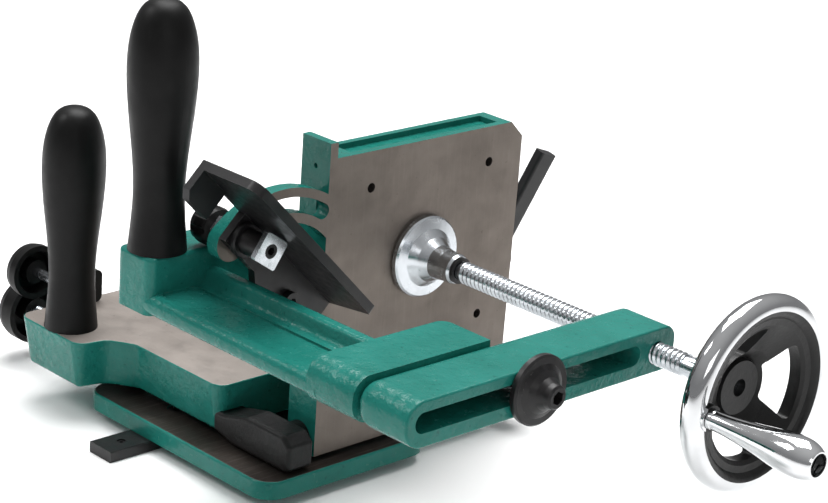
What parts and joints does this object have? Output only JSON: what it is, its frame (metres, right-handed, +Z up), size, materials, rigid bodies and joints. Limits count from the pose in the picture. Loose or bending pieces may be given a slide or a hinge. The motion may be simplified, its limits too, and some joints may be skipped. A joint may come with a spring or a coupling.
{
  "type": "tenoning jig",
  "caption": "Cast jig that slides in a saw table's slot, holds a board upright against a tilting plate and clamps it with a hand-cranked screw.",
  "frame": {"origin": "underside of the base, on the guide bar's centreline, 70 mm behind the base's front edge", "axes": "+X from the carriage towards the handwheel, +Y along the guide bar away from the push handle, +Z up"},
  "size_m": [0.5474, 0.3034, 0.2713],
  "materials": {
    "green_paint": "glossy teal-green enamel on sand-cast iron, working faces machined bare",
    "black_paint": "satin black enamel on cast iron; the handwheel's rim is plated",
    "black_steel": "black oxide steel",
    "bright_steel": "turned and zinc-plated steel",
    "black_plastic": "moulded black plastic",
    "chrome": "bright plating"
  },
  "bodies": {
    "base": {"base_plate": "green_paint", "guide_bar": "black_steel", "guide_bar_screw_front": "black_steel", "guide_bar_screw_rear": "black_steel", "bar_set_screw_front": "black_steel", "bar_set_screw_rear": "black_steel", "lead_nut": "bright_steel"},
    "carriage": {"carriage": "green_paint", "push_handle": "black_plastic", "lock_lug": "black_paint", "trunnion_front": "black_paint", "trunnion_rear": "black_paint", "tilt_pin_front": "bright_steel", "tilt_pin_rear": "bright_steel", "tilt_quadrant": "green_paint"},
    "lead_screw": {"lead_screw": "bright_steel", "fine_adjust_knob": "black_plastic"},
    "lock_knob": {"lock_stud": "bright_steel", "slide_lock_knob": "black_plastic"},
    "backing": {"backing_plate": "green_paint", "clamp_arm": "green_paint", "arm_handle": "black_plastic", "arm_bolt_front": "black_steel", "arm_bolt_rear": "black_steel", "lock_bolt": "black_steel", "lock_washer": "black_steel", "guide_screw": "black_steel", "fence_pivot_screw": "black_steel", "tilt_stud": "bright_steel", "tilt_spacer": "bright_steel"},
    "clamp_bar": {"clamp_bar": "green_paint"},
    "pad": {"clamp_pad": "bright_steel", "retaining_ring": "black_steel"},
    "clamp_screw": {"clamp_screw": "bright_steel", "handwheel": "black_paint", "crank_spindle": "black_steel"},
    "crank": {"crank_handle": "chrome"},
    "fence": {"fence": "black_steel", "fence_stud": "black_steel", "fence_washer": "black_steel", "fence_sleeve": "black_steel", "fence_square_nut": "bright_steel", "fence_nut": "bright_steel"},
    "fence_knob": {"fence_knob": "black_plastic"},
    "tilt_lever": {"tilt_lever": "black_steel"}
  },
  "joints": [
    {"name": "carriage_slide", "type": "slide", "parent": "base", "child": "carriage", "axis": [1, 0, 0], "range_m": [-0.03, 0.035]},
    {"name": "lead_screw_turn", "type": "hinge", "parent": "carriage", "child": "lead_screw", "pos_m": [0, -0.044, 0.0225], "axis": [1, 0, 0], "continuous": true},
    {"name": "slide_lock_turn", "type": "hinge", "parent": "carriage", "child": "lock_knob", "pos_m": [0, -0.0545, 0.054], "axis": [1, 0, 0], "range_deg": [-360, 360]},
    {"name": "tilt", "type": "hinge", "parent": "carriage", "child": "backing", "pos_m": [0.0855, 0, 0.0215], "axis": [0, -1, 0], "range_deg": [0, 15]},
    {"name": "tilt_lever_turn", "type": "hinge", "parent": "backing", "child": "tilt_lever", "pos_m": [0.05, 0, 0.078], "axis": [0, 1, 0], "range_deg": [-30, 30]},
    {"name": "clamp_bar_slide", "type": "slide", "parent": "backing", "child": "clamp_bar", "axis": [0, 1, 0], "range_m": [-0.036, 0]},
    {"name": "pad_advance", "type": "slide", "parent": "clamp_bar", "child": "pad", "axis": [1, 0, 0], "range_m": [0, 0.0605]},
    {"name": "clamp_screw_turn", "type": "hinge", "parent": "pad", "child": "clamp_screw", "pos_m": [0, 0.0395, 0.1135], "axis": [1, 0, 0], "range_deg": [0, 7200]},
    {"name": "crank_handle_spin", "type": "hinge", "parent": "clamp_screw", "child": "crank", "pos_m": [0.35, 0.00051, 0.11282], "axis": [1, 0, 0], "continuous": true},
    {"name": "fence_swing", "type": "hinge", "parent": "backing", "child": "fence", "pos_m": [0.0975, -0.059, 0.11], "axis": [1, 0, 0], "range_deg": [-45, 0]},
    {"name": "fence_knob_turn", "type": "hinge", "parent": "fence", "child": "fence_knob", "pos_m": [0.0775, -0.089, 0.14798], "axis": [1, 0, 0], "range_deg": [-360, 360]}
  ],
  "couplings": [
    {"joint": "lead_screw_turn", "follows": "carriage_slide", "rad_per_m": 3957.9},
    {"joint": "pad_advance", "follows": "clamp_screw_turn", "m_per_rad": 0.00047746}
  ]
}
